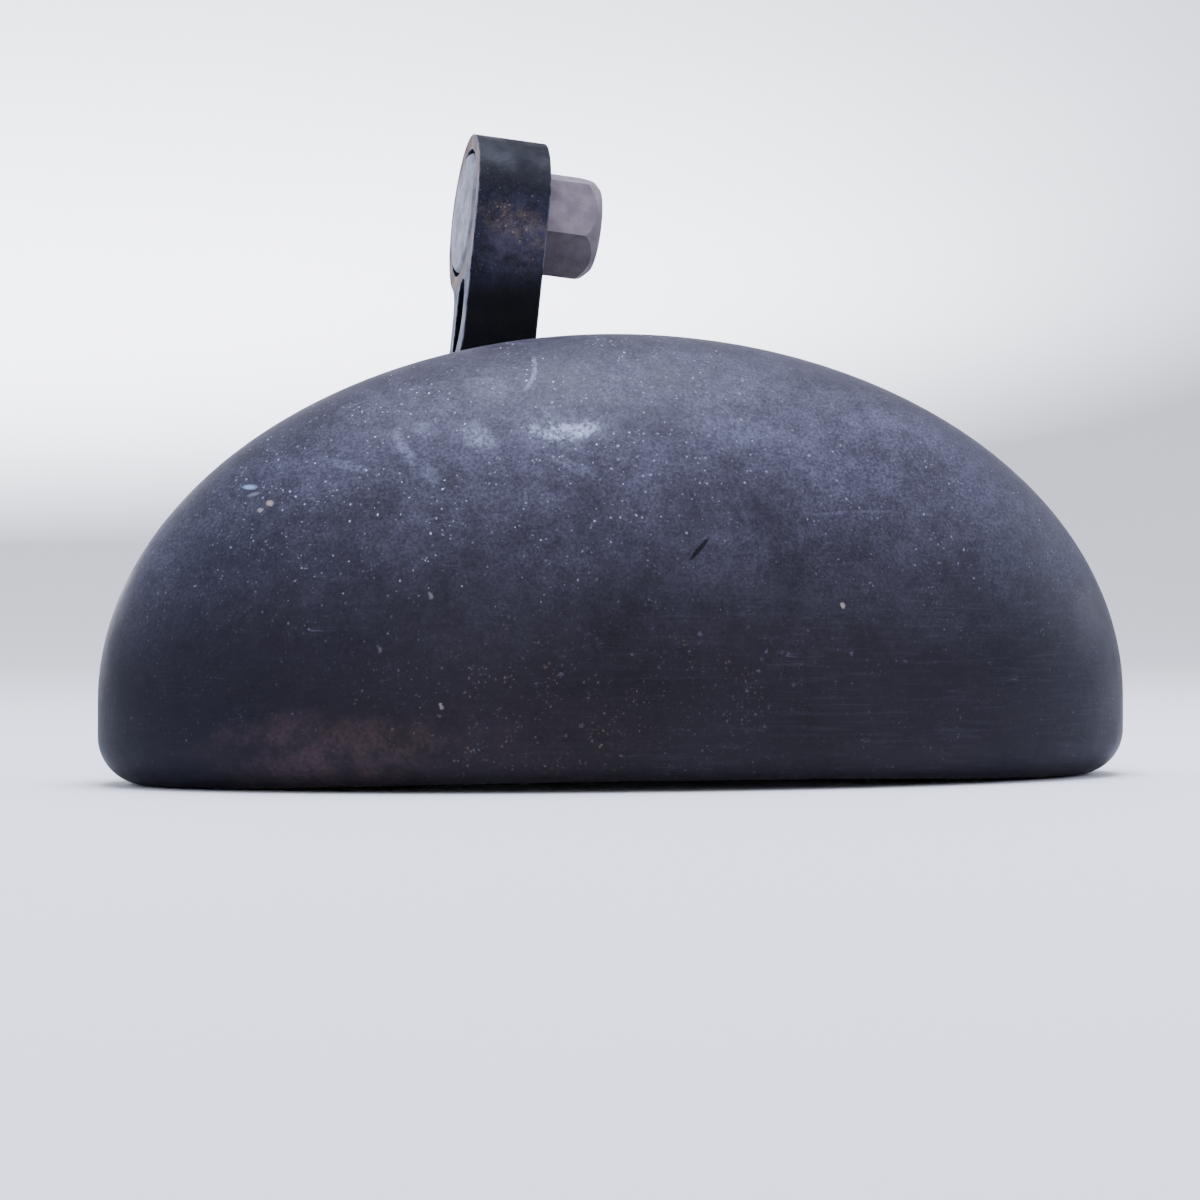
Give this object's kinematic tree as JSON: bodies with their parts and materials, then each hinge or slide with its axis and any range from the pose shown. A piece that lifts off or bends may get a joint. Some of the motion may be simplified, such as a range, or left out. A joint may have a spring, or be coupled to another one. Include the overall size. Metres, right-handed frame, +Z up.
{
  "type": "swing shoe",
  "caption": "Half-moon cast shoe bolted to a leaning forged eye arm, with a flush round-headed through bolt and a rounded hex nut at the pivot.",
  "frame": {"origin": "bottom centre of the object's bounding box, in the plane of the two end lands that it stands on", "axes": "+Z up from the base to the eye, +X along the shoe's width towards the nut side, +Y from the rounded front towards the flat back and the arm"},
  "size_m": [0.1436, 0.069, 0.0925],
  "materials": {
    "shoe_paint": "worn satin blue-black paint on cast iron, scuffed and dusty",
    "arm_paint": "blue-black forged steel with dust and light rust",
    "zinc_steel": "dull weathered zinc plate",
    "nut_steel": "matte weathered grey steel",
    "rusted_steel": "rust-brown steel",
    "bush_bronze": "oiled bronze",
    "fastener_steel": "darkened zinc-plated steel"
  },
  "bodies": {
    "shoe": {"shoe_shell": "shoe_paint", "hanger_arm": "arm_paint", "foot_bolts": "fastener_steel", "foot_washers": "rusted_steel", "foot_lock_washers": "fastener_steel", "foot_nuts": "fastener_steel", "eye_bush": "bush_bronze"},
    "pivot": {"pivot_bolt": "zinc_steel", "head_washer": "rusted_steel", "pivot_nut": "nut_steel"}
  },
  "joints": [
    {"name": "pivot_turn", "type": "hinge", "parent": "shoe", "child": "pivot", "pos_m": [-0.0129, 0.023, 0.0805], "axis": [0.9945, 0, -0.1045], "continuous": true}
  ]
}
